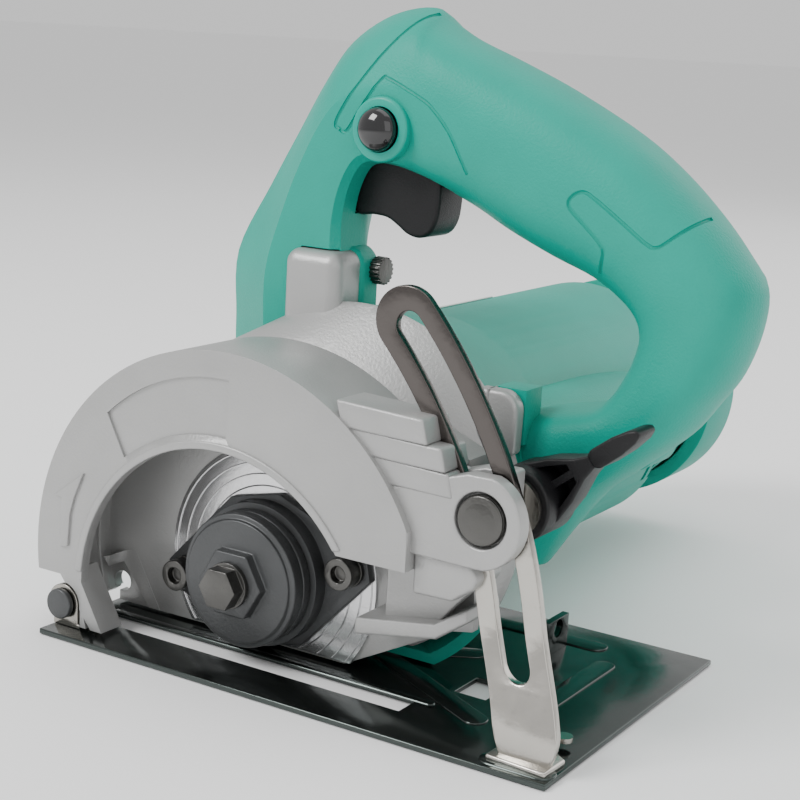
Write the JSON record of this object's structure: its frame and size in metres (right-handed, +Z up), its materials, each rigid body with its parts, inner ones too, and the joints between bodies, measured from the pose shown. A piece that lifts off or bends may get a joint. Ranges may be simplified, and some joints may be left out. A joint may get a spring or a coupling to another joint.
{
  "type": "hand-held stone cutter",
  "caption": "Compact hand-held disc cutter for stone and tile: cast half guard on a tilting base plate, loop handle over a crosswise motor, blade not fitted.",
  "frame": {"origin": "centre of the base plate's underside", "axes": "+X to the rear of the tool, +Y from the blade side to the tail of the motor, +Z up"},
  "size_m": [0.1786, 0.225, 0.1716],
  "materials": {
    "plated_steel": "glossy",
    "bright_steel": "satin",
    "black_steel": "satin",
    "cast_alloy": "satin",
    "dark_bolt": "satin",
    "black_plastic": "matte",
    "gloss_black": "glossy",
    "bearing_steel": "glossy",
    "gear_steel": "satin",
    "teal_plastic": "satin",
    "lamination": "satin",
    "copper_wire": "satin",
    "brass_parts": "satin",
    "carbon": "matte",
    "label_white": "satin"
  },
  "bodies": {
    "base": {"base_plate": "plated_steel", "fence_tab": "plated_steel", "pivot_bracket": "bright_steel", "pivot_rivet": "black_steel", "depth_arm": "bright_steel", "arm_rivets": "bright_steel"},
    "spindle": {"outer_flange": "black_steel", "inner_flange": "black_steel", "flange_bolt": "dark_bolt", "spindle": "bright_steel", "driven_gear": "gear_steel"},
    "armature": {"armature_core": "lamination", "armature_windings": "copper_wire", "armature_shaft": "gear_steel", "commutator": "copper_wire", "cooling_fan": "black_plastic", "pinion": "gear_steel"},
    "clamp_lever": {"clamp_lever": "black_plastic"},
    "trigger": {"trigger": "black_plastic"},
    "lock_button": {"lock_button": "gloss_black", "lock_spring": "bearing_steel"},
    "saw": {"blade_guard": "cast_alloy", "clamp_bolt": "dark_bolt", "clamp_washer": "bright_steel", "front_bearing": "bearing_steel", "rear_bearing": "bearing_steel", "bearing_box": "black_steel", "bearing_box_screws": "dark_bolt", "spring_washers": "dark_bolt", "gear_housing": "cast_alloy", "case_screw": "dark_bolt", "bearing_plate": "cast_alloy", "armature_front_bearing": "bearing_steel", "armature_rear_bearing": "bearing_steel", "motor_housing": "teal_plastic", "rear_cover": "teal_plastic", "stator_core": "lamination", "field_coils": "copper_wire", "fan_baffle": "black_plastic", "brush_holders": "brass_parts", "carbon_brushes": "carbon", "brush_springs": "bearing_steel", "brush_caps": "black_plastic", "handle_left": "teal_plastic", "handle_right": "teal_plastic", "handle_screws": "dark_bolt", "handle_front_screw": "dark_bolt", "trigger_pin": "bearing_steel", "switch_body": "black_plastic", "trigger_spring": "bearing_steel", "nameplate": "label_white"}
  },
  "joints": [
    {"name": "depth_tilt", "type": "hinge", "parent": "base", "child": "saw", "pos_m": [-0.0745, -0.039, 0.008], "axis": [0, -1, 0], "range_deg": [0, 20]},
    {"name": "spindle_turn", "type": "hinge", "parent": "saw", "child": "spindle", "pos_m": [-0.022, 0, 0.0235], "axis": [0, 1, 0], "continuous": true},
    {"name": "armature_turn", "type": "hinge", "parent": "saw", "child": "armature", "pos_m": [-0.00819, 0.05, 0.04374], "axis": [0, 1, 0], "continuous": true},
    {"name": "lever_turn", "type": "hinge", "parent": "saw", "child": "clamp_lever", "pos_m": [0.052, -0.02, 0.05656], "axis": [0, -1, 0], "range_deg": [-40, 40]},
    {"name": "trigger_pull", "type": "hinge", "parent": "saw", "child": "trigger", "pos_m": [-0.015, 0.013, 0.135], "axis": [0, -1, 0], "range_deg": [0, 6], "stiffness_Nm_per_rad": 0.8, "springref_deg": -8.59, "deforming": ["trigger_spring"]},
    {"name": "lock_press", "type": "slide", "parent": "saw", "child": "lock_button", "axis": [0, 1, 0], "range_m": [0, 0.0018], "stiffness_N_per_m": 600, "springref_m": -0.002}
  ],
  "couplings": [
    {"joint": "armature_turn", "follows": "spindle_turn", "ratio": -2.5}
  ]
}
